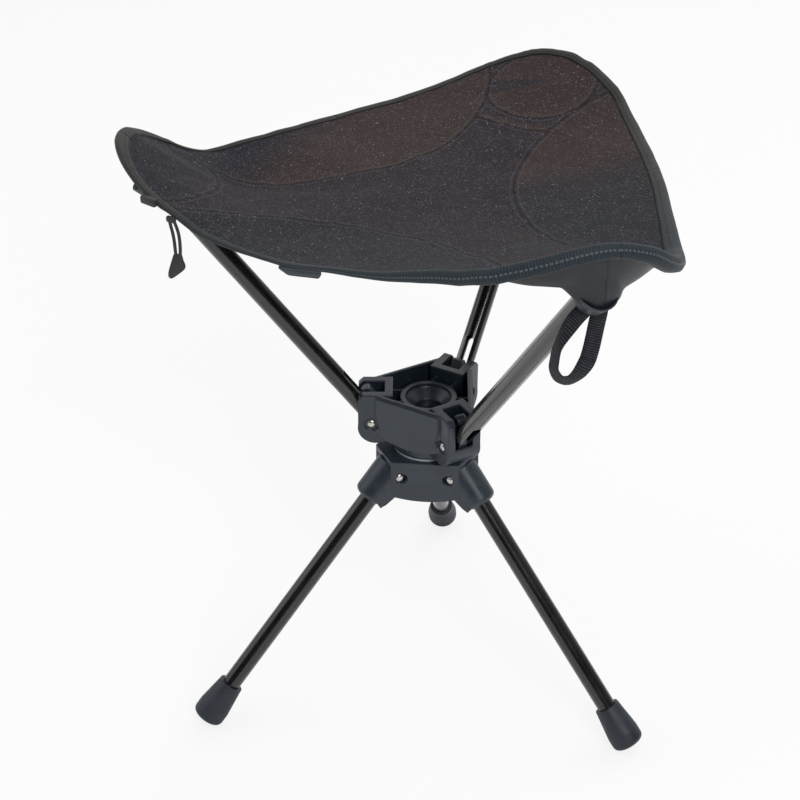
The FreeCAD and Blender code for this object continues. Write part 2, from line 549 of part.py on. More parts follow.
def make_leg(side, angle):
    end = "dim.leg_reach"
    tube(f"leg_tube_{side}", angle, on_leg, "-dim.tube_head", f"{end} - dim.foot_sole")
    foot = body_on_axis(f"foot_{side}", angle)
    mouth = f"{end} - dim.foot_len"
    wide = "dim.foot_d / 2"
    turn_in = "dim.foot_round * (1 - sin(45deg))"
    points = (
        on_leg(mouth, "dim.tube_d / 2"), on_leg(mouth, "dim.foot_top_d / 2"), on_leg(f"{end} - dim.foot_flare", wide),
        on_leg(f"{end} - dim.foot_round", wide),
        ("ARC",) + on_leg(f"{end} - {turn_in}", f"{wide} - {turn_in}"),
        on_leg(end, f"{wide} - dim.foot_round"), on_leg(end, "0"),
        on_leg(f"{end} - dim.foot_sole", "0"), on_leg(f"{end} - dim.foot_sole", "dim.tube_d / 2"),
    )
    axis = (on_leg(mouth), on_leg(end))
    turned("Revolution", foot, sketch_on(foot, "XZ_Plane", points, axis))
    below = "-dim.foot_d"
    inner = on_leg(mouth)[0]
    outer = on_leg(f"{end} + dim.foot_d")[0]
    floor = sketch_on(foot, "XZ_Plane", ((inner, below), (outer, below), (outer, "0 * dim.foot_d"),
                                         (inner, "0 * dim.foot_d")))
    prismatic("Pocket", foot, floor, "dim.foot_d * 2")


def make_arm(side, angle):
    arm = tube(f"arm_tube_{side}", angle, on_arm, "-dim.tube_head", "dim.arm_len")
    round_at = "dim.slot_len - dim.slot_w / 2"
    slot = (
        on_arm("-dim.tube_head * 2", "-dim.tube_d"), on_arm(round_at, "-dim.tube_d"),
        on_arm(round_at, "dim.tube_d"), on_arm("-dim.tube_head * 2", "dim.tube_d"),
    )
    prismatic("Pocket", arm, sketch_on(arm, "XZ_Plane", slot), "dim.slot_w")
    end = (
        on_arm(round_at, "-dim.tube_d"), on_arm("dim.slot_len", "-dim.tube_d"),
        on_arm("dim.slot_len", "dim.tube_d"), on_arm(round_at, "dim.tube_d"),
    )
    axis = (on_arm(round_at, "-dim.tube_d"), on_arm(round_at, "dim.tube_d"))
    turned("Groove", arm, sketch_on(arm, "XZ_Plane", end, axis))

    cap = body_on_axis(f"tip_cap_{side}", angle)
    inside = "dim.tube_d / 2 - dim.tube_wall"
    deep = "dim.arm_len - dim.cap_plug"
    brim = "dim.arm_len + dim.cap_dome * 0.2"
    points = (
        on_arm(deep), on_arm(deep, inside), on_arm("dim.arm_len", inside), on_arm("dim.arm_len", "dim.tube_d / 2"),
        on_arm(brim, "dim.tube_d / 2"),
        ("ARC",) + on_arm("dim.arm_len + dim.cap_dome * 0.8", "dim.tube_d * 0.34"),
        on_arm("dim.tip_s", "dim.tube_d * 0.12"), on_arm("dim.tip_s"),
    )
    axis = (on_arm(deep), on_arm("dim.tip_s"))
    turned("Revolution", cap, sketch_on(cap, "XZ_Plane", points, axis))


def collar(label, angle):
    body = body_on_axis(label, angle)
    inner = "dim.rest_off"
    outer = "dim.rest_off + dim.collar_t"
    end = "dim.arm_len - dim.pocket_len - dim.rest_gap"
    begin = f"{end} - dim.collar_len"
    points = (on_arm(begin, inner), on_arm(end, inner), on_arm(end, outer), on_arm(begin, outer))
    turned("Revolution", body, sketch_on(body, "XZ_Plane", points, (on_arm(begin), on_arm(end))))
    return body


def make_pull_loop(angle):
    """A collar with a hanging loop of the same webbing, the hole of the loop facing outwards."""
    body = collar("pull_loop", angle)
    middle = "dim.arm_len - dim.pocket_len - dim.rest_gap - dim.collar_len / 2"
    out, high = on_arm(middle, "dim.rest_off + dim.collar_t / 2")
    half = "dim.loop_span / 2"
    low = f"{high} - dim.loop_h"
    foot_round = f"{low} + dim.loop_span / 2"
    thin = "dim.loop_t"
    outside = (
        ("-dim.loop_w * 0.3", high), ("dim.loop_w * 0.3", high), (half, foot_round), ("ARC", "0", low),
        (f"-{half}", foot_round),
    )
    inside = (
        (f"-dim.loop_w * 0.3 + {thin} / 2", f"{high} - 2 * {thin}"),
        (f"dim.loop_w * 0.3 - {thin} / 2", f"{high} - 2 * {thin}"),
        (f"{half} - {thin}", foot_round), ("ARC", "0", f"{low} + {thin}"), (f"-{half} + {thin}", foot_round),
    )
    prismatic("Pad", body, sketch_on(body, "YZ_Plane", outside, shift=out), "dim.loop_w", False)
    prismatic("Pocket", body, sketch_on(body, "YZ_Plane", inside, shift=f"{out} + dim.loop_w / 2"),
              "dim.loop_w * 2")


def rim_rise(angle):
    """Height of the rim above the seat's middle, eased between its measured places."""
    count = len(RIM_TURNS)
    rises = [size(f"rim_rise_{index}") for index in range(count)]
    turns = RIM_TURNS + (RIM_TURNS[0] + 360,)
    angle = (angle - turns[0]) % 360 + turns[0]
    index = max(k for k in range(count) if turns[k] <= angle)
    begin, end = turns[index], turns[index + 1]
    before, first, last, after = [rises[(index + k) % count] for k in (-1, 0, 1, 2)]
    share = (angle - begin) / (end - begin)
    bend = (2 * before - 5 * first + 4 * last - after) * share + 3 * (first - last) * share ** 2
    bend += (after - before) * share ** 2
    return first + share / 2 * (last - before + bend)


def seat_reach(angle):
    """Distance from the axis to the seat's outline, at an angle from the rear corner."""
    away = math.radians(abs((angle + 60) % 120 - 60))
    radius = size("seat_corner_round")
    centre = size("seat_corner_r") - radius
    if away > math.atan2(radius * math.sin(math.radians(60)), centre + radius / 2):
        return size("seat_edge_r") / math.cos(math.radians(60) - away)
    return centre * math.cos(away) + math.sqrt(radius ** 2 - (centre * math.sin(away)) ** 2)


def seat_top(across, along):
    """Height of the seat's upper face, lowest in the middle and rising to the hanging rim."""
    angle = math.degrees(math.atan2(along, across))
    share = math.hypot(across, along) / seat_reach(angle)
    rise = share ** 2 if share < 1 else 2 * share - 1
    return size("seat_middle_z") + rim_rise(angle) * rise


def seat_slab(raised, thickness):
    """A layer under the seat's upper face moved up by a distance."""
    span = size("seat_corner_r") * 1.1
    steps = [span * (index / 10 - 1) for index in range(21)]
    surface = Part.BSplineSurface()
    surface.interpolate([[Vector(x, y, seat_top(x, y) + raised) for y in steps] for x in steps])
    return surface.toShape().extrude(Vector(0, 0, -thickness))


def seat_prism(beyond):
    """The upright prism of the seat's outline moved outwards by a distance."""
    radius = size("seat_corner_round") + beyond
    centre = size("seat_corner_r") - size("seat_corner_round")
    corners = [[FreeCAD.Rotation(Vector(0, 0, 1), angle).multVec(Vector(centre, 0, 0))
                + FreeCAD.Rotation(Vector(0, 0, 1), angle + side).multVec(Vector(radius, 0, 0))
                for side in (-60, 0, 60)] for angle in (0, 120, 240)]
    sides = []
    for index, points in enumerate(corners):
        sides.append(Part.Arc(*points).toShape())
        sides.append(Part.LineSegment(points[2], corners[(index + 1) % 3][0]).toShape())
    return Part.Face(Part.Wire(sides)).extrude(Vector(0, 0, size("tip_z") * 2))


def fixed_shape(label, shape, angle):
    """A shape that no sketch fits, set in its place round the swivel axis."""
    feature = doc.addObject("Part::Feature", label)
    feature.Label = label
    feature.Shape = shape
    turn(feature, angle)


def make_seat():
    outline = seat_prism(0)
    panel = seat_slab(0, size("seat_t")).common(outline)
    fixed_shape("seat_panel", panel, REAR)
    spare = (size("binding_t") - size("seat_t")) / 2
    band = seat_prism(size("binding_w")).cut(outline)
    fixed_shape("edge_binding", seat_slab(spare, size("binding_t")).common(band), REAR)


def make_pocket(side, angle):
    """A flared pocket under a corner of the seat, bored for the end of the arm."""
    slope = math.radians(size("arm_slope"))
    along = Vector(math.cos(slope), 0, math.sin(slope))
    inwards = Vector(-math.sin(slope), 0, math.cos(slope))
    pin = Vector(size("arm_pivot_r"), 0, size("arm_pivot_z"))
    mouth = pin + along * (size("arm_len") - size("pocket_len"))
    tip = pin + along * size("tip_s")
    to_rear = FreeCAD.Rotation(Vector(0, 0, 1), angle - REAR)
    under = to_rear.multVec(tip)
    ceiling = Vector(tip.x - size("tube_d") / 2, 0, seat_top(under.x, under.y) + size("seat_t"))
    sleeve = size("rest_off") + size("pocket_t")
    sections = (
        (mouth, sleeve * 1.1, inwards * sleeve), (tip, sleeve * 1.4, inwards * sleeve * 1.1),
        (ceiling, size("pocket_w") / 2, Vector(-size("pocket_flare"), 0, 0)),
    )
    wires = []
    for centre, half, depth in sections:
        ellipse = Part.Ellipse(centre + Vector(0, half, 0), centre + depth, centre)
        wires.append(Part.Wire(ellipse.toShape()))
    cloth = Part.makeLoft(wires, True)
    bore = Part.makeCylinder(size("rest_off"), size("tip_s") + size("rest_gap"), pin, along)
    above = seat_slab(size("tip_z"), size("tip_z") + size("seat_t") + size("rest_gap"))
    above.rotate(Vector(), Vector(0, 0, 1), REAR - angle)
    trimmed = cloth.common(seat_prism(-size("rest_gap"))).cut(above).cut(bore)
    largest = max(trimmed.Solids, key=lambda solid: solid.Volume)
    fixed_shape(f"pocket_{side}", largest, angle)


def make_zip(angle):
    """Slider, cord and tag of a zip pull hanging at the front edge; the body's own X axis faces the front."""
    face = size("seat_edge_r") + size("binding_w")
    off = -size("zip_off")
    height = seat_top(-size("seat_edge_r"), -off) - size("seat_t") / 2
    slider = Part.makeBox(size("slider_t"), size("slider_l"), size("slider_w"),
                          Vector(face, off - size("slider_l") / 2, height - size("slider_w") / 2))
    fixed_shape("zip_slider", slider, angle)
    hang = face + size("slider_t") / 2
    cord_top = height - size("slider_w") / 2
    cord_end = cord_top - size("zip_cord_l")
    cord = Part.makeCylinder(size("zip_cord_d") / 2, size("zip_cord_l"), Vector(hang, off, cord_end))
    fixed_shape("zip_cord", cord, angle)
    narrow, wide, length = size("zip_cord_d") * 0.7, size("tag_w") / 2, size("tag_l")
    corners = [Vector(hang - size("tag_t") / 2, off + side, cord_end - drop)
               for side, drop in ((-narrow, 0), (narrow, 0), (wide, length), (-wide, length), (-narrow, 0))]
    tag = Part.Face(Part.makePolygon(corners)).extrude(Vector(size("tag_t"), 0, 0))
    fixed_shape("zip_tag", tag, angle)


REAR = 90
SIDES = (("rear", REAR), ("right", REAR - 120), ("left", REAR + 120))
LEG_PIN_HALF = "(2 * dim.lower_flat - dim.leg_pivot_r) / sqrt(3) - dim.rib_t"

make_lower_hub()
make_upper_hub()
make_swivel()
for side, angle in SIDES:
    leg_angle = angle + size("seat_turn")
    make_leg(side, leg_angle)
    make_pin(f"leg_pin_{side}", leg_angle, "dim.leg_pivot_r", "dim.leg_pivot_z", LEG_PIN_HALF)
    make_arm(side, angle)
    make_pin(f"arm_pin_{side}", angle, "dim.arm_pivot_r", "dim.arm_pivot_z", "dim.corner_w / 2 - dim.recess_t")
    make_pocket(side, angle)
    if side != "right":
        collar(f"collar_{side}", angle)
make_pull_loop(REAR - 120)
make_seat()
make_zip(REAR + 180)
doc.recompute()

broken = [thing.Name for thing in doc.Objects if {"Invalid", "Error"} & set(thing.State)]
if broken:
    raise RuntimeError("features in error: " + ", ".join(broken))
NODES = [thing for thing in doc.Objects if thing.TypeId in ("PartDesign::Body", "Part::Feature")]
NODES = [thing for thing in NODES if thing.TypeId == "PartDesign::Body" or not thing.getParentGroup()]
NODES += [doc.getObject(name) for name in ("swivel_bolt", "lock_nut")]
os.makedirs("parts", exist_ok=True)
for node in NODES:
    shape = node.Shape
    if shape.isNull() or not shape.isValid() or not shape.Solids:
        raise RuntimeError(node.Label + " has no sound solid")
    shape.exportStep(f"parts/{node.Label}.step")
    print(node.Label, len(shape.Solids), round(shape.Volume / 1000, 2), "cm3")
for alias in ("axis_y", "leg_pivot_z", "arm_pivot_z", "lower_top", "upper_base", "tip_r", "tip_z"):
    print(alias, round(size(alias), 3))
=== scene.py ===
"""Folding tripod stool: a three-cornered cloth seat on slotted arms, over swivelling hubs and splayed legs."""
import bisect
import math

import bmesh
import bpy
from mathutils import Matrix, Vector, noise


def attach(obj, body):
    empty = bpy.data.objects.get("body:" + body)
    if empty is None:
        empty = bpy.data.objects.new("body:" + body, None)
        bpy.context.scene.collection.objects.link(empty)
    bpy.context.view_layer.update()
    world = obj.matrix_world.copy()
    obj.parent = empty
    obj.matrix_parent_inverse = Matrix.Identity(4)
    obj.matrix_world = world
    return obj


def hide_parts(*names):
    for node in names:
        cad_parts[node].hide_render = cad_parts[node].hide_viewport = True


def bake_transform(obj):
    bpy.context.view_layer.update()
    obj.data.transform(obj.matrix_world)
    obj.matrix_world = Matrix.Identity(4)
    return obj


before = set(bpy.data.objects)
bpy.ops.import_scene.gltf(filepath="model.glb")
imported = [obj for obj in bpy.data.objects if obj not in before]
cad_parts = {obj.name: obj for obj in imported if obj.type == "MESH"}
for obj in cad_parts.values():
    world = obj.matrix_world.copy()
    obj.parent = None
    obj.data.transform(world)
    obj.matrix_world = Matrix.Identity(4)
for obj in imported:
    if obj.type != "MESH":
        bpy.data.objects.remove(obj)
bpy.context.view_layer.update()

# The stool's own sizes, in metres and degrees, as the CAD frame has them.
AXIS_Y = -0.029456
ARM_ANGLE = {"rear": 90.0, "right": -30.0, "left": 210.0}
ARM_SLOPE, ARM_PIN_R, ARM_PIN_Z = 52.6, 0.0478, 0.264911

# Seat: plan distance from the swivel axis to an edge, rounding of the corners, height of the middle.
EDGE_R, CORNER_ROUND, SEAT_MIDDLE = 0.164, 0.088, 0.4699
SEAT_THICK = 0.0026

# Rise of the seat towards its rim: power of the share of the reach, and what is added to it round the left corner,
# which stays flat for longer and then bends up: added power, angle and spread. The hollow there: place, depth and width.
HANG_POWER = 2.2
HANG_LEFT = ((1.2, 206, 48), (4.5, 191, 17))
HOLLOW_AT, HOLLOW_DEEP, HOLLOW_WIDE = (205, 0.148), 0.0088, 0.048

# The rim as the unloaded cloth hangs: angle round the axis, height, and share of the plan reach there.
RIM = ((-55, 0.5110, 1.010), (-48, 0.5220, 1.015), (-41, 0.5345, 1.020), (-35, 0.5415, 1.030), (-29, 0.5405, 1.045),
       (-23, 0.5300, 1.070), (-17, 0.5130, 1.090), (-11, 0.5020, 1.088), (-4, 0.4990, 1.085), (6, 0.4980, 1.087),
       (18, 0.4965, 1.090), (32, 0.4940, 1.084), (46, 0.4920, 1.065), (60, 0.4915, 1.036), (69, 0.4945, 1.000),
       (75, 0.5012, 0.970), (80, 0.5052, 0.967), (86, 0.5106, 0.970), (92, 0.5111, 0.968), (98, 0.5061, 0.970),
       (108, 0.4932, 0.985), (117, 0.4835, 0.996), (128, 0.4800, 1.000), (141, 0.4774, 1.000), (161, 0.4754, 1.000),
       (178, 0.4732, 1.000), (186, 0.4720, 1.000), (191, 0.4820, 1.000), (197, 0.5000, 0.998), (203, 0.5150, 1.000),
       (209, 0.5240, 1.004), (214, 0.5255, 1.008), (219, 0.5195, 1.011), (225, 0.5095, 1.011), (231, 0.4990, 1.013),
       (237, 0.4875, 1.011), (244, 0.4805, 1.009), (252, 0.4790, 1.008), (264, 0.4805, 1.008), (280, 0.4885, 1.012),
       (293, 0.4980, 1.012))

# The binding round the rim: angle, width on top of the cloth and height of its outer face, in metres.
TAPE = ((-42, 0.006, 0.0090), (-30, 0.006, 0.0085), (-20, 0.009, 0.0092), (-11, 0.013, 0.0085), (0, 0.011, 0.0046),
        (20, 0.0095, 0.0036), (60, 0.0085, 0.0036), (90, 0.0075, 0.0036), (110, 0.0065, 0.0036), (150, 0.0065, 0.0034),
        (180, 0.0055, 0.0034), (192, 0.0055, 0.0034), (204, 0.009, 0.0038), (213, 0.011, 0.0040), (222, 0.008, 0.0034),
        (236, 0.005, 0.0028), (262, 0.005, 0.0026), (284, 0.0055, 0.0044), (302, 0.006, 0.0080))

# Its section: share of the width in from the rim, distance out past the rim, share of the height.
FOLD = ((1.0, 0, 0.02), (0.82, 0, 0.20), (0.5, 0, 0.28), (0.08, 0, 0.24), (0, 0.0009, 0.06), (0, 0.0013, -0.3),
        (0, 0.0010, -0.7), (0.08, 0, -0.98), (0.5, 0, -1.05), (0.92, 0, -1.03), (1.0, 0, -0.9))

# Collar across its band: distance up the arm and radius, in metres; and how far each is pushed up its arm.
COLLAR_UP = {"rear": -0.006, "right": 0.006, "left": -0.006}
COLLAR = ((0.2745, 0.0116), (0.2745, 0.0128), (0.2752, 0.0133), (0.2820, 0.0147), (0.2880, 0.0162), (0.2887, 0.0158),
          (0.2880, 0.0146))

# Pockets: the mouth's place up the arm, distance below its line and radius; the swing of the top to each side in
# degrees; the reach of its inner side, the distance of its outer side in from the rim, and the wall with its rows.
MOUTH_UP, MOUTH_BELOW, MOUTH_R = 0.2830, 0.0038, 0.0140
POCKET_SWING = {"rear": 21, "right": 21, "left": 10}
POCKET_INNER, POCKET_INSET, POCKET_WALL, POCKET_ROWS = 0.190, 0.010, 0.0011, 40

# The soft pieces are made in halves, left and right of each arm seen from the axis.
HALF = {1: "a", -1: "b"}

# The photograph's right and its way away from the camera, level.
PHOTO_RIGHT, PHOTO_AWAY = Vector((0.861, 0.508, 0)), Vector((-0.508, 0.861, 0))

# Zip pull, to the right and up from the slider's eye in millimetres: both halves of the cord, and the tag's edge.
# The tag's section: share of the way from its middle to its edge, and lift in metres.
ZIP_CORDS = {"zip_cord_near": ((-1.4, 0.5), (-0.7, -4.5), (0.6, -11), (1.3, -19), (1.5, -27), (1.8, -33)),
             "zip_cord_far": ((1.7, 0.5), (3.3, -4.5), (4.9, -11), (5.4, -19), (5.2, -27), (4.6, -33))}
TAG_EDGE = [Vector((x, z, 0)) for x, z in (
    (-0.2, -28.8), (3.0, -28.3), (6.0, -28.8), (7.2, -34), (8.4, -38.4), (7.4, -41.5), (3.0, -45.4), (-1.6, -48.8),
    (-3.6, -49.3), (-5.2, -47.5), (-4.9, -43.4), (-2.8, -36.5), (-0.2, -28.8))]
TAG_MIDDLE = Vector((1.4, -39, 0))
TAG_SECTION = ((0.0, -0.0017), (0.78, -0.0016), (0.93, -0.0012), (1.0, -0.0003), (1.0, 0.0003), (0.93, 0.0012),
               (0.78, 0.0016), (0.0, 0.0017))

# The slider's eye, and the tab at the end of the zip: angle, distance from the axis and height.
ZIP_EYE = Vector((-0.1271, -0.1975, 0.4900))
ZIP_END = (229, 0.2232, 0.5015)

# The tab under the front edge: first angle, span and drop; its section: distance out and share of the drop.
TAB_FROM, TAB_SPAN, TAB_DROP = 259, 12.5, 0.0062
TAB_SECTION = ((0.0, 0.0), (0.0, -0.9), (0.0, -1.0), (0.0011, -0.97), (0.0011, -0.5), (0.0011, 0.0))

# Pull loop: its way down and back, to the right, away and up from the collar in millimetres; its section in metres.
LOOP_PATH = ((12.3, -9, 0.5), (11.7, -9.5, -4.3), (10.3, -10, -13.3), (9.1, -10, -22.7), (7.5, -10, -33.2),
             (5.2, -10, -42.7), (-0.2, -10, -52.8), (-6.8, -10, -57.9), (-13.8, -11, -55.4), (-17.7, -12, -47.9),
             (-17.8, -12.5, -39.1), (-16.1, -13, -28.2), (-11.3, -13.5, -16.5), (-5.6, -14, -5.9), (-0.2, -14, 1.3),
             (2.4, -13, 4.8))
STRAP = [(across * 0.001, lift * 0.001) for across, lift in (
    (6, 0), (5.6, 0.65), (2, 0.8), (-2, 0.8), (-5.6, 0.65), (-6, 0), (-5.6, -0.65), (-2, -0.8), (2, -0.8),
    (5.6, -0.65))]
LOOP_FROM, LOOP_FACES = 0.268, Vector((0.475, -1.05, 0.68))

# Length of a stitch, in metres.
STITCH = 0.0026

# The studio: name, power, size and place of each lamp; where they aim; the camera's place, aim and angle of view.
LAMPS = (("key", 34, 1.2, (1.6, -1.4, 2.0)), ("fill", 10, 2.0, (-1.8, -1.2, 1.5)), ("rim", 10, 1.4, (0.2, 1.8, 1.8)))
LAMPS_AIM = Vector((0, 0, 0.3))
CAMERA_AT, CAMERA_AIM = Vector((0.6513, AXIS_Y - 1.1510, 1.1217)), Vector((-0.0206, AXIS_Y - 0.0122, 0.2800))
CAMERA_ANGLE = 24.31


def linear(colour):
    """A linear colour with alpha from sRGB hex."""
    parts = [int(colour[i:i + 2], 16) / 255 for i in (1, 3, 5)]
    return tuple(c / 12.92 if c <= 0.04045 else ((c + 0.055) / 1.055) ** 2.4 for c in parts) + (1.0,)


def node(tree, kind, links=None, **settings):
    """A shader node with its settings, and its inputs set or linked by name or number."""
    made = tree.nodes.new("ShaderNode" + kind)
    for key, setting in settings.items():
        setattr(made, key, setting)
    for key, source in (links or {}).items():
        if isinstance(source, bpy.types.NodeSocket):
            tree.links.new(source, made.inputs[key])
        else:
            made.inputs[key].default_value = source
    return made


def finish_of(name, **sockets):
    """A new material with a Principled shader whose even sockets are set directly."""
    made = bpy.data.materials.new(name)
    made.use_nodes = True
    shader = made.node_tree.nodes["Principled BSDF"]
    for key, setting in sockets.items():
        shader.inputs[key.replace("_", " ")].default_value = setting
    return made, made.node_tree, shader


def ramp(tree, factor, stops):
    """A colour ramp from (place, colour) stops."""
    made = node(tree, "ValToRGB", {"Fac": factor})
    while len(made.color_ramp.elements) < len(stops):
        made.color_ramp.elements.new(0.5)
    for element, (place, colour) in zip(made.color_ramp.elements, stops):
        element.position = place
        element.color = linear(colour) if isinstance(colour, str) else (colour, colour, colour, 1)
    return made.outputs["Color"]


def calc(tree, operation, first, second=None):
    """The result of a Math node."""
    given = {0: first} if second is None else {0: first, 1: second}
    return node(tree, "Math", given, operation=operation).outputs[0]


def mix(tree, factor, first, second, blend_type="MIX"):
    """The colour of a Mix node."""
    given = {"Factor": factor, 6: first, 7: second}
    return node(tree, "Mix", given, data_type="RGBA", blend_type=blend_type).outputs[2]


def cloud_of(tree, place, scale, detail=2.0):
    """The value of a noise texture."""
    return node(tree, "TexNoise", {"Vector": place, "Scale": scale, "Detail": detail}).outputs["Fac"]


def mottle(tree, shader, factor, colours, roughness):
    """Base colour and roughness as ramps over one value."""
    tree.links.new(ramp(tree, factor, colours), shader.inputs["Base Color"])
    tree.links.new(ramp(tree, factor, roughness), shader.inputs["Roughness"])


def relief(tree, shader, height, strength, distance, **under):
    """A bump, over another normal where one is given."""
    bump = node(tree, "Bump", {"Height": height, "Strength": strength, "Distance": distance, **under})
    tree.links.new(bump.outputs["Normal"], shader.inputs["Normal"])


def stitches(tree, across, along, line, reach, filled):
    """Where a thread shows: within a reach of a line across the cloth, for a share of each stitch."""
    near = calc(tree, "LESS_THAN", calc(tree, "ABSOLUTE", calc(tree, "SUBTRACT", across, line)), reach)
    dash = calc(tree, "LESS_THAN", calc(tree, "FRACT", calc(tree, "DIVIDE", along, STITCH)), filled)
    return calc(tree, "MULTIPLY", near, dash)


def moulded_nylon():
    """Glass-filled nylon, moulded and finely textured: satin, blue-black, soft at every edge."""
    made, tree, shader = finish_of("moulded_nylon", IOR=1.53)
    place = node(tree, "TexCoord").outputs["Object"]
    mottle(tree, shader, cloud_of(tree, place, 60.0, 3.0), ((0.3, "#212932"), (0.7, "#2a343e")),
           ((0.3, 0.28), (0.7, 0.4)))
    edge = node(tree, "Bevel", {"Radius": 0.0022}, samples=8).outputs["Normal"]
    relief(tree, shader, cloud_of(tree, place, 1800.0), 0.25, 0.0002, Normal=edge)
    return made


def gloss_paint():
    """Black powder coat on tube: glossy with slight orange peel."""
    made, tree, shader = finish_of("gloss_black_powder_coat", Specular_IOR_Level=0.4, Coat_Weight=0.8,
                                    Coat_IOR=1.5, Coat_Roughness=0.1)
    place = node(tree, "TexCoord").outputs["Object"]
    mottle(tree, shader, cloud_of(tree, place, 35.0, 5.0), ((0.35, "#050506"), (0.75, "#0a0a0b")),
           ((0.3, 0.2), (0.7, 0.34)))
    relief(tree, shader, cloud_of(tree, place, 420.0), 0.12, 0.0002)
    return made


def rubber(name, dark, light):
    """Moulded rubber: matte, faintly mottled where it has been handled."""
    made, tree, shader = finish_of(name, IOR=1.52)
    place = node(tree, "TexCoord").outputs["Object"]
    mottle(tree, shader, cloud_of(tree, place, 90.0, 4.0), ((0.3, dark), (0.75, light)), ((0.3, 0.42), (0.7, 0.6)))
    relief(tree, shader, cloud_of(tree, place, 1500.0), 0.3, 0.0002)
    return made


def plated_steel():
    """Zinc-plated steel: bright, with fine turning marks."""
    made, tree, shader = finish_of("plated_steel", Metallic=1.0)
    marks = cloud_of(tree, node(tree, "TexCoord").outputs["Object"], 700.0, 3.0)
    mottle(tree, shader, marks, ((0.3, "#b9b7b2"), (0.7, "#d8d7d3")), ((0.3, 0.2), (0.7, 0.36)))
    return made


def washer_plastic():
    """White acetal, smooth and slightly waxy."""
    made, tree, shader = finish_of("white_acetal", IOR=1.48)
    cloud = cloud_of(tree, node(tree, "TexCoord").outputs["Object"], 150.0, 3.0)
    mottle(tree, shader, cloud, ((0.3, "#b8bec2"), (0.7, "#d4d8da")), ((0.3, 0.35), (0.7, 0.45)))
    return made


def seat_cloth():
    """Coated polyester weave: near-black melange with pale flecks, felled seams with a stitch line each side."""
    made, tree, shader = finish_of("speckled_polyester", Specular_IOR_Level=0.08, Sheen_Weight=0.015)
    flat = node(tree, "UVMap", uv_map="cloth").outputs["UV"]
    seam = node(tree, "SeparateXYZ", {"Vector": node(tree, "UVMap", uv_map="seam").outputs["UV"]}).outputs
    # Painted light: the cloth is tinted from a cool dark at the front to a lighter, warm tone at the rear left, whose
    # slope faces the light, and painted shade turns it a darker blue at the left corner.
    painted_light_lean = node(tree, "VectorMath", {0: flat, 1: (-0.6, 0.8, 0)}, operation="DOT_PRODUCT").outputs["Value"]
    painted_light_share = node(tree, "MapRange", {"Value": painted_light_lean, "From Min": -0.16, "From Max": 0.16}).outputs["Result"]
    panel = ramp(tree, painted_light_share, ((0.2, "#292d33"), (0.40, "#2b282d"), (0.52, "#40312d")))
    base = mix(tree, calc(tree, "LESS_THAN", seam["X"], 0.0), linear("#2e272c"), panel)
    # Painted shade: the cloth turns a darker blue towards the left corner.
    leftward = node(tree, "SeparateXYZ", {"Vector": flat}).outputs["X"]
    corner = node(tree, "MapRange", {"Value": leftward, "From Min": -0.125, "From Max": -0.17}).outputs["Result"]
    base = mix(tree, corner, base, linear("#20212c"))
    # Yarn flecks, 0.7 mm apart.
    fleck = node(tree, "TexVoronoi", {"Vector": flat, "Scale": 1450.0}, feature="F1").outputs
    yarn = node(tree, "SeparateColor", {"Color": fleck["Color"]}).outputs
    spread = ramp(tree, yarn["Red"], ((0.0, "#171517"), (0.6, "#282528"), (0.94, "#3b373b"), (0.99, "#8f8b93")))
    mixed = mix(tree, 0.45, base, spread)
    # Painted highlight: a few tiny bright glints among the flecks.
    glint = node(tree, "TexVoronoi", {"Vector": flat, "Scale": 420.0}, feature="F1").outputs
    chance = node(tree, "SeparateColor", {"Color": glint["Color"]}).outputs["Green"]
    rare, small = calc(tree, "GREATER_THAN", chance, 0.955), calc(tree, "LESS_THAN", glint["Distance"], 0.2)
    mixed = mix(tree, calc(tree, "MULTIPLY", rare, small), mixed, linear("#8f8d96"))
    # Painted shade darkens the sunken seam, and a stitch line runs 3 mm to each side of it.
    across = calc(tree, "ABSOLUTE", seam["X"])
    groove_shade = ramp(tree, calc(tree, "MULTIPLY", across, 1000.0), ((0.3, 0.5), (0.9, 1.0)))
    thread = stitches(tree, across, seam["Y"], 0.003, 0.0006, 0.62)
    seamed = mix(tree, 1.0, mixed, groove_shade, "MULTIPLY")
    tree.links.new(mix(tree, thread, seamed, linear("#454247")), shader.inputs["Base Color"])
    tree.links.new(ramp(tree, yarn["Green"], ((0.0, 0.45), (1.0, 0.75))), shader.inputs["Roughness"])
    weave = calc(tree, "SUBTRACT", fleck["Distance"], calc(tree, "MULTIPLY", thread, 0.6))
    crease = cloud_of(tree, flat, 70.0, 4.0)
    soft = node(tree, "Bump", {"Height": crease, "Strength": 0.35, "Distance": 0.002}).outputs["Normal"]
    relief(tree, shader, weave, 0.5, -0.0004, Normal=soft)
    return made


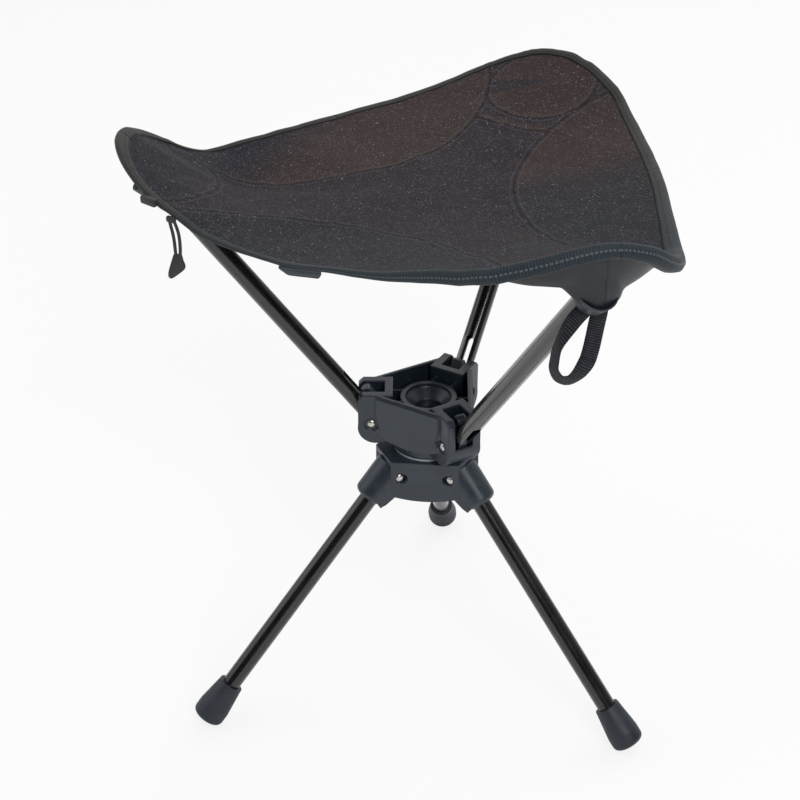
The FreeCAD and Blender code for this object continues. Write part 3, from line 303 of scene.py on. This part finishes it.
def woven_tape(name, dark, light, pitch, stitched=()):
    """Polyester tape or webbing: ribs across it, and stitch lines, each a place across it and a thread colour; stitched
    tape also gets painted light and painted shade.
    """
    made, tree, shader = finish_of(name, Specular_IOR_Level=0.2, Sheen_Weight=0.05)
    flat = node(tree, "UVMap", uv_map="cloth").outputs["UV"]
    ribs = node(tree, "TexWave", {"Vector": flat, "Scale": 0.314 / pitch, "Distortion": 0.5, "Detail": 1.0},
                bands_direction="X").outputs["Fac"]
    cloud = cloud_of(tree, flat, 300.0, 4.0)
    colour = ramp(tree, calc(tree, "MULTIPLY", ribs, cloud), ((0.1, dark), (0.6, light)))
    place = node(tree, "SeparateXYZ", {"Vector": flat}).outputs
    if stitched:
        # Painted light: the front right is tinted cooler than the left and the rear for the light on each side, and
        # painted shade darkens the sewn edge.
        side = node(tree, "VectorMath", {0: node(tree, "TexCoord").outputs["Object"], 1: (-0.6, 0.8, 0)},
                    operation="DOT_PRODUCT").outputs["Value"]
        painted_light_lean = node(tree, "MapRange", {"Value": side, "From Min": -0.2, "From Max": -0.02}).outputs["Result"]
        colour = mix(tree, 1.0, colour, ramp(tree, painted_light_lean, ((0.0, "#d4ecfa"), (1.0, "#f4ead8"))), "MULTIPLY")
        # Painted shade: a near-black strip along the sewn edge.
        colour = mix(tree, calc(tree, "LESS_THAN", place["Y"], 0.0017), colour, linear("#0b0b0d"))
    for line, thread_colour in stitched:
        thread = stitches(tree, place["Y"], place["X"], line, 0.0004, 0.6)
        colour = mix(tree, thread, colour, linear(thread_colour))
    tree.links.new(colour, shader.inputs["Base Color"])
    tree.links.new(ramp(tree, cloud, ((0.3, 0.5), (0.7, 0.68))), shader.inputs["Roughness"])
    relief(tree, shader, ribs, 0.2 if stitched else 0.5, 0.0005)
    return made


def coated_lining(name, dark, light):
    """Polyurethane-coated lining cloth: smooth, satin, blue-grey."""
    made, tree, shader = finish_of(name, Specular_IOR_Level=0.45)
    cloud = cloud_of(tree, node(tree, "TexCoord").outputs["Object"], 60.0, 4.0)
    mottle(tree, shader, cloud, ((0.3, dark), (0.75, light)), ((0.3, 0.34), (0.7, 0.48)))
    relief(tree, shader, cloud, 0.3, 0.002)
    return made


def along_ray(angle, radius, height=0.0):
    """A point at an angle and a distance from the swivel axis."""
    turn = math.radians(angle)
    return Vector((radius * math.cos(turn), AXIS_Y + radius * math.sin(turn), height))


def on_arm(angle, distance, below=0.0, aside=0.0):
    """A point by an open arm: distance up from its pin, distance below its line, distance to its left."""
    slope, turn = math.radians(ARM_SLOPE), math.radians(angle)
    radius = ARM_PIN_R + distance * math.cos(slope) + below * math.sin(slope)
    height = ARM_PIN_Z + distance * math.sin(slope) - below * math.cos(slope)
    return along_ray(angle, radius, height) + Vector((-math.sin(turn), math.cos(turn), 0)) * aside


def smooth(value):
    """A share from 0 to 1, eased at both ends."""
    value = min(1.0, max(0.0, value))
    return value * value * (3 - 2 * value)


RIM_ROUND, TAPE_ROUND = [[(place[0] + turn, *place[1:]) for turn in (-360, 0, 360) for place in table]
                         for table in (RIM, TAPE)]


def eased(begin, end, before, first, last, after, angle):
    """A smooth value between two places, from the values at them and at their neighbours."""
    share = (angle - begin) / (end - begin)
    slope_in, slope_out = (last - before) / 2, (after - first) / 2
    return ((2 * share ** 3 - 3 * share ** 2 + 1) * first + (share ** 3 - 2 * share ** 2 + share) * slope_in
            + (3 * share ** 2 - 2 * share ** 3) * last + (share ** 3 - share ** 2) * slope_out)


def at_angle(places, angle):
    """The values that a table round the seat gives at an angle."""
    angle %= 360
    index = bisect.bisect_right(places, (angle, 9)) - 1
    before, first, last, after = places[index - 1:index + 3]
    return [eased(first[0], last[0], before[k], first[k], last[k], after[k], angle) for k in range(1, len(first))]


def rim_radius(angle, inset=0.0):
    """Reach of the seat's rounded outline at an angle, moved in by a distance."""
    turn = math.radians(abs((angle - 90 + 60) % 120 - 60))
    centre = 2 * (EDGE_R - CORNER_ROUND)
    radius = CORNER_ROUND - inset
    if turn > math.atan2(radius * math.sin(math.radians(60)), centre + radius * 0.5):
        reach = (EDGE_R - inset) / math.cos(math.radians(60) - turn)
    else:
        reach = centre * math.cos(turn) + math.sqrt(radius ** 2 - (centre * math.sin(turn)) ** 2)
    return reach * at_angle(RIM_ROUND, angle)[1]


# Seams in plan: round the edge panels, round the corner patches and round the inner patch of the rear corner.
EDGE_PANELS = [(along_ray(150, 0.231), 0.168), (along_ray(30, 0.231), 0.165), (along_ray(272.5, 0.231), 0.156)]
PATCHES = [(along_ray(a, 0.252), 0.085 if side == "left" else 0.122) for side, a in ARM_ANGLE.items()]
YOKES = [(along_ray(ARM_ANGLE["rear"], 0.192), 0.047)]


def seam_at(point):
    """Distance from the nearest seam in plan, and distance along that seam."""
    plan = Vector((point.x, point.y, 0))
    seams = list(EDGE_PANELS)
    if all((plan - middle).length > radius for middle, radius in EDGE_PANELS):
        patch = min(PATCHES, key=lambda circle: (plan - circle[0]).length)
        seams += [patch] + (YOKES if (plan - patch[0]).length < patch[1] else [])
    circle = min(seams, key=lambda circle: abs((plan - circle[0]).length - circle[1]))
    arm = plan - circle[0]
    return arm.length - circle[1], math.atan2(arm.y, arm.x) * circle[1]


def seat_height(point):
    """Height of the seat's top over a point in plan, with its hang, seams and slight puckers."""
    x, y = point.x, point.y - AXIS_Y
    angle = math.degrees(math.atan2(y, x))
    turn = angle % 360
    power = HANG_POWER + sum(more * smooth(1 - abs(turn - middle) / spread) for more, middle, spread in HANG_LEFT)
    hollow = (Vector((point.x, point.y, 0)) - along_ray(*HOLLOW_AT)).length
    rise = at_angle(RIM_ROUND, angle)[0] - SEAT_MIDDLE
    height = SEAT_MIDDLE + rise * (math.hypot(x, y) / rim_radius(angle)) ** power
    height -= HOLLOW_DEEP * math.exp(-(hollow / HOLLOW_WIDE) ** 2)
    away, along = seam_at(point)
    height += 0.0007 * math.exp(-(away / 0.0032) ** 2) - 0.0004 * math.exp(-(away / 0.001) ** 2)
    pucker = noise.noise(Vector((along * 90, away * 30, 3.1))) * math.exp(-(away / 0.012) ** 2)
    ripple = noise.noise(Vector((x * 26, y * 26, 0.7))) * 0.0016
    ripple += noise.noise(Vector((x * 70, y * 70, 5.2))) * 0.0005
    return height + pucker * 0.0012 + ripple


def new_piece(name, bm, finish, body=None, replaced=(), slot=None, smooth_faces=True):
    """Turns a bmesh into an object of the stool, with its finish, body and the CAD nodes that it stands for."""
    mesh = bpy.data.meshes.new(name)
    for face in bm.faces:
        face.smooth = smooth_faces
    bm.to_mesh(mesh)
    bm.free()
    piece = bpy.data.objects.new(name, mesh)
    bpy.context.scene.collection.objects.link(piece)
    mesh.materials.append(finish)
    if body:
        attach(piece, body)
    if replaced:
        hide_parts(*replaced)
    return piece


def lay_uv(bm, name, place_of):
    """Fills a UV map, made if it is new, from each vertex."""
    layer = bm.loops.layers.uv.get(name) or bm.loops.layers.uv.new(name)
    for face in bm.faces:
        for loop in face.loops:
            loop[layer].uv = place_of(loop.vert)


def grid(columns, rows, place_of, flat=(1, 1)):
    """A grid of quads laid out by a function of two shares from 0 to 1, with its flat size as its UV map."""
    bm = bmesh.new()
    bmesh.ops.create_grid(bm, x_segments=columns, y_segments=rows, size=0.5)
    lay_uv(bm, "cloth", lambda vert: ((vert.co.x + 0.5) * flat[0], (vert.co.y + 0.5) * flat[1]))
    for vert in bm.verts:
        vert.co = place_of(vert.co.x + 0.5, vert.co.y + 0.5)
    return bm


def follow_arm(piece):
    """Bakes a soft piece's placement into its mesh."""
    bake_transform(piece)


def seat_sector(side, angle, half, cloth):
    """A sixth of the seat cloth, from the swivel axis out to one corner and half of an edge."""
    def place_of(u, v):
        turn = angle + u * 60 * half
        spot = along_ray(turn, rim_radius(turn, 0.0015) * v)
        spot.z = seat_height(spot)
        return spot

    bm = grid(76, 96, place_of)
    bmesh.ops.remove_doubles(bm, verts=bm.verts, dist=1e-6)
    bmesh.ops.recalc_face_normals(bm, faces=bm.faces)
    if sum(face.normal.z for face in bm.faces) < 0:
        bmesh.ops.reverse_faces(bm, faces=bm.faces)
    lay_uv(bm, "cloth", lambda vert: (vert.co.x, vert.co.y))
    lay_uv(bm, "seam", lambda vert: seam_at(vert.co))
    area = sum(face.calc_area() for face in bm.faces)
    bmesh.ops.solidify(bm, geom=bm.faces[:], thickness=SEAT_THICK)
    for edge in bm.edges:
        edge.smooth = edge.calc_face_angle(0) < math.radians(50)
    piece = new_piece(f"seat_cloth_{side}_{HALF[half]}", bm, cloth, replaced=["seat_panel"], slot="seat_cloth")
    follow_arm(piece)
    return piece


def closed_skin(bm):
    """Welds a laid-out grid, caps its open ends and turns its faces outward."""
    bmesh.ops.remove_doubles(bm, verts=bm.verts, dist=1e-6)
    bmesh.ops.holes_fill(bm, edges=[edge for edge in bm.edges if edge.is_boundary])
    bmesh.ops.recalc_face_normals(bm, faces=bm.faces)


def rim_point(turn, inset=0.0):
    """The point of the seat's top at its rim, or a distance in from it."""
    spot = along_ray(turn, rim_radius(turn, inset))
    spot.z = seat_height(spot)
    return spot


def edge_binding(side, angle, half, tape):
    """A sixth of the binding: tape folded over the rim of the cloth and stitched through."""
    count = len(FOLD)

    def place_of(u, v):
        turn = angle + u * 60 * half
        inset, out, lift = FOLD[round(v * count) % count]
        width, height = at_angle(TAPE_ROUND, turn)
        rim = rim_point(turn)
        along = rim_point(turn + 0.6) - rim_point(turn - 0.6)
        face = along.cross(rim_point(turn, 0.009) - rim).normalized()
        inward = face.cross(along).normalized()
        return rim + inward * (inset * width - out) + face * (lift * height)

    bm = grid(90, count, place_of, (0.21, 0.022))
    closed_skin(bm)
    piece = new_piece(f"edge_binding_{side}_{HALF[half]}", bm, tape, replaced=["edge_binding"], slot="binding_tape")
    follow_arm(piece)
    return piece


def corner_pocket(side, angle, half, lining):
    """Half of a pocket under a corner: coated cloth that rises from the collar and flares out to the binding."""
    rows = [k / POCKET_ROWS for k in range(POCKET_ROWS + 1)]
    wall = [(v, 0.0) for v in rows] + [(v, POCKET_WALL) for v in reversed(rows)]

    def place_of(u, v):
        turn = math.pi * u * half
        v, inside = wall[round(v * len(wall)) % len(wall)]
        low = on_arm(angle, MOUTH_UP + COLLAR_UP[side], MOUTH_BELOW + MOUTH_R * math.cos(turn),
                     MOUTH_R * math.sin(turn))
        swing = POCKET_SWING[side] * math.sin(turn)
        outer, inner = rim_radius(angle + swing, POCKET_INSET), POCKET_INNER / math.cos(math.radians(swing))
        top = along_ray(angle + swing, (outer + inner) / 2 + (outer - inner) / 2 * math.cos(turn))
        top.z = seat_height(top) - SEAT_THICK - 0.0015
        flare = v ** 2.2
        bell = 0.7 * smooth(flare / 0.25) + 0.3 * smooth((flare - 0.5) / 0.5)
        climb = v + (bell - v) * abs(math.sin(turn))
        slack = 0.0020 * math.sin(math.pi * v) * noise.noise(
            Vector((math.cos(turn) * 2.4, math.sin(turn) * 2.4, v * 1.6 + angle)))
        beside = (turn - 0.6 + math.pi) % (2 * math.pi) - math.pi
        slack += 0.0045 * math.exp(-(beside / 0.5) ** 2 - ((v - 0.3) / 0.2) ** 2)
        step = top - low
        spread = Vector((step.x, step.y, 0))
        out = spread.normalized() * (slack - inside * (1 - flare))
        return low + spread * flare + out + Vector((0, 0, step.z * climb + inside * flare))

    bm = grid(72, len(wall), place_of, (0.15, 0.1))
    closed_skin(bm)
    area = sum(face.calc_area() for face in bm.faces) / 2
    piece = new_piece(f"corner_pocket_{side}_{HALF[half]}", bm, lining, None, [f"pocket_{side}"], "seat_cloth")
    follow_arm(piece)
    return piece


def webbing_collar(side, angle, webbing, replaced):
    """A band of webbing sewn round the mouth of a pocket, wider towards the pocket."""
    count = len(COLLAR)

    def place_of(u, v):
        distance, radius = COLLAR[round(v * count) % count]
        turn = 2 * math.pi * u
        return on_arm(angle, distance + COLLAR_UP[side], 0.003 + radius * math.cos(turn), radius * math.sin(turn))

    bm = grid(64, count, place_of, (0.09, 0.033))
    closed_skin(bm)
    return new_piece(f"webbing_collar_{side}", bm, webbing, f"arm_{side}", [replaced], "webbing")


def through(points, share):
    """A point on a smooth curve through given points, by share of their count."""
    place = min(max(share, 0.0), 0.99999) * (len(points) - 1)
    index = int(place)
    near = [points[min(max(index + k, 0), len(points) - 1)] for k in (-1, 0, 1, 2)]
    return Vector([eased(0, 1, *(point[k] for point in near), place - index) for k in range(3)])


def pull_loop(webbing):
    """The strap that hangs from the right collar: one flat webbing, half turned over on its way back up."""
    top = on_arm(ARM_ANGLE["right"], LOOP_FROM)
    path = [top + (PHOTO_RIGHT * r + PHOTO_AWAY * d + Vector((0, 0, z))) * 0.001 for r, d, z in LOOP_PATH]
    out = LOOP_FACES.normalized()
    count = len(STRAP)

    def place_of(u, v):
        across, lift = STRAP[round(v * count) % count]
        along = (through(path, u + 0.005) - through(path, u - 0.005)).normalized()
        wide = along.cross(out).normalized()
        face = wide.cross(along)
        turn = math.radians(57) * (smooth((u - 0.3) / 0.16) - 0.8 * smooth((u - 0.72) / 0.16))
        turned = wide * math.cos(turn) + face * math.sin(turn)
        face = face * math.cos(turn) - wide * math.sin(turn)
        return through(path, u) + turned * across + face * lift

    bm = grid(150, count, place_of, (0.165, 0.026))
    closed_skin(bm)
    return new_piece("pull_loop_strap", bm, webbing, "arm_right", ["pull_loop"], "webbing")


def rounded_block(name, size, middle, along, finish, **rest):
    """A small block with rounded edges: its size along, out and up, its middle and the way that it runs."""
    bm = bmesh.new()
    bmesh.ops.create_cube(bm, size=1.0)
    bmesh.ops.scale(bm, vec=size, verts=bm.verts)
    bmesh.ops.bevel(bm, geom=bm.edges[:], offset=min(size) * 0.3, segments=3, profile=0.5, affect="EDGES")
    turn = Matrix.Rotation(math.atan2(along.y, along.x), 3, "Z")
    bmesh.ops.rotate(bm, cent=(0, 0, 0), matrix=turn, verts=bm.verts)
    bmesh.ops.translate(bm, vec=middle, verts=bm.verts)
    return new_piece(name, bm, finish, **rest)


def zip_pull(dark, finish):
    """Slider under the front edge of the left corner, the doubled cord from its eye and the moulded tag."""
    def hung(spot, away=0.0):
        return ZIP_EYE + PHOTO_RIGHT * (spot[0] * 0.001) + Vector((0, 0, spot[1] * 0.001)) + PHOTO_AWAY * away

    along = rim_point(234) - rim_point(232)
    rounded_block("zip_slider_body", (0.0078, 0.0034, 0.0046), ZIP_EYE + Vector((0, 0, 0.0008)), along, dark,
                  body="arm_left", replaced=["zip_slider"], slot="zip_metal")
    rounded_block("zip_end_tab", (0.0150, 0.0050, 0.0064), along_ray(*ZIP_END),
                  rim_point(231) - rim_point(227), dark, body="arm_left", slot="binding_tape")
    turns = len(TAG_SECTION)

    def place_of(u, v):
        share, lift = TAG_SECTION[round(v * turns) % turns]
        edge = through(TAG_EDGE, u)
        return hung(TAG_MIDDLE + (edge - TAG_MIDDLE) * share, lift)

    bm = grid(60, turns, place_of, (0.05, 0.02))
    closed_skin(bm)
    tag = new_piece("zip_pull_tag", bm, dark, "arm_left", ["zip_tag"], "zip_tag")
    for name, route in ZIP_CORDS.items():
        line = bpy.data.curves.new(name, "CURVE")
        line.dimensions, line.bevel_depth, line.bevel_resolution, line.use_fill_caps = "3D", 0.0013, 4, True
        spline = line.splines.new("NURBS")
        spline.points.add(len(route) - 1)
        for point, spot in zip(spline.points, route):
            point.co = (*hung(spot), 1)
        spline.order_u, spline.use_endpoint_u, spline.resolution_u = 3, True, 8
        line.materials.append(finish)
        piece = bpy.data.objects.new(name, line)
        bpy.context.scene.collection.objects.link(piece)
        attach(piece, "arm_left")
        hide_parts("zip_cord")


def front_tab(finish):
    """A plain tab of coated cloth sewn under the front edge."""
    count = len(TAB_SECTION)

    def place_of(u, v):
        out, drop = TAB_SECTION[round(v * count) % count]
        turn = TAB_FROM + TAB_SPAN * u
        rim = rim_point(turn)
        outward = Vector((rim.x, rim.y - AXIS_Y, 0)).normalized()
        length = TAB_DROP * min(1.0, 0.35 + 3 * u, 0.5 + 9 * (1 - u))
        return rim + outward * (0.0004 + out) + Vector((0, 0, drop * length - 0.0022))

    bm = grid(40, count, place_of, (0.035, 0.017))
    closed_skin(bm)
    piece = new_piece("front_tab", bm, finish, slot="webbing")
    follow_arm(piece)


def studio():
    """A pale floor and soft lamps, and the camera where the photograph was taken from."""
    bm = bmesh.new()
    bmesh.ops.create_grid(bm, x_segments=1, y_segments=1, size=6.0)
    floor_finish, tree, shader = finish_of("studio_floor", Roughness=0.9)
    shader.inputs["Base Color"].default_value = linear("#f2f2f2")
    # Most of what is seen of the floor is plain white, so that it stays pale and the shadow light.
    seen = calc(tree, "MULTIPLY", node(tree, "LightPath").outputs["Is Camera Ray"], 0.8)
    white = node(tree, "Emission", {"Color": (1, 1, 1, 1), "Strength": 1.0}).outputs[0]
    pale = node(tree, "MixShader", {0: seen, 1: shader.outputs[0], 2: white})
    tree.links.new(pale.outputs[0], tree.nodes["Material Output"].inputs["Surface"])
    floor = new_piece("floor", bm, floor_finish)
    world = bpy.data.worlds.new("studio")
    bpy.context.scene.world = world
    world.use_nodes = True
    tree = world.node_tree
    tree.nodes["Background"].inputs["Color"].default_value = (1, 1, 1, 1)
    # The room is white above and behind the stool and dark behind the lens; what is seen of it is white.
    way = node(tree, "VectorMath", {0: node(tree, "TexCoord").outputs["Generated"], 1: (-0.25, 0.43, 0.87)},
               operation="DOT_PRODUCT").outputs["Value"]
    room = node(tree, "MapRange", {"Value": way, "From Min": 0.08, "From Max": 0.75, "To Min": 0.05, "To Max": 0.9})
    seen = node(tree, "LightPath").outputs["Is Camera Ray"]
    level = calc(tree, "MAXIMUM", room.outputs["Result"], seen)
    tree.links.new(level, tree.nodes["Background"].inputs["Strength"])
    for name, energy, size, place in LAMPS:
        lamp = bpy.data.lights.new(name, "AREA")
        lamp.energy, lamp.size = energy, size
        holder = bpy.data.objects.new(name, lamp)
        holder.location = place
        holder.rotation_euler = (LAMPS_AIM - Vector(place)).to_track_quat("-Z", "Y").to_euler()
        bpy.context.scene.collection.objects.link(holder)
    view = bpy.data.cameras.new("photo_view")
    view.sensor_fit = "HORIZONTAL"
    view.angle = math.radians(CAMERA_ANGLE)
    camera = bpy.data.objects.new("photo_view", view)
    camera.location = CAMERA_AT
    camera.rotation_euler = (CAMERA_AIM - CAMERA_AT).to_track_quat("-Z", "Y").to_euler()
    bpy.context.scene.collection.objects.link(camera)
    bpy.context.scene.camera = camera
    bpy.context.scene.view_settings.view_transform = "Standard"


def paint_frame(finishes):
    """Gives each CAD node that stays in sight its finish."""
    for name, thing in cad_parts.items():
        for start, finish in finishes.items():
            if name.startswith(start):
                thing.data.materials.clear()
                thing.data.materials.append(finish)


CLOTH = seat_cloth()
STEEL = plated_steel()
NYLON = moulded_nylon()
PAINT = gloss_paint()
RUBBER = rubber("foot_rubber", "#1a2028", "#262e38")
BINDING = woven_tape("binding_tape", "#2a2c2e", "#3d4043", 0.0017, ((0.0040, "#17181a"), (0.0105, "#4f585f")))
LINING = coated_lining("coated_lining", "#16191f", "#22262d")
COLLAR_CLOTH = coated_lining("coated_collar", "#262e34", "#343e45")
WEBBING = woven_tape("ribbed_webbing", "#0d0e12", "#3b3e48", 0.0022)

paint_frame({
    "upper_hub": NYLON, "lower_hub": NYLON, "arm_tube": PAINT, "leg_tube": PAINT, "foot": RUBBER,
    "tip_cap": RUBBER, "leg_pin": STEEL, "arm_pin": STEEL, "swivel_bolt": STEEL, "lock_nut": STEEL,
    "top_washer": STEEL, "lower_washer": STEEL, "thrust_washer": washer_plastic(),
})
for side, angle in ARM_ANGLE.items():
    for half in HALF:
        seat_sector(side, angle, half, CLOTH)
        edge_binding(side, angle, half, BINDING)
        corner_pocket(side, angle, half, LINING)
    webbing_collar(side, angle, COLLAR_CLOTH, "pull_loop" if side == "right" else f"collar_{side}")
pull_loop(WEBBING)
zip_pull(rubber("dark_rubber", "#1c1d20", "#2a2b2f"), rubber("braided_cord", "#17181a", "#232427"))
front_tab(COLLAR_CLOTH)
studio()
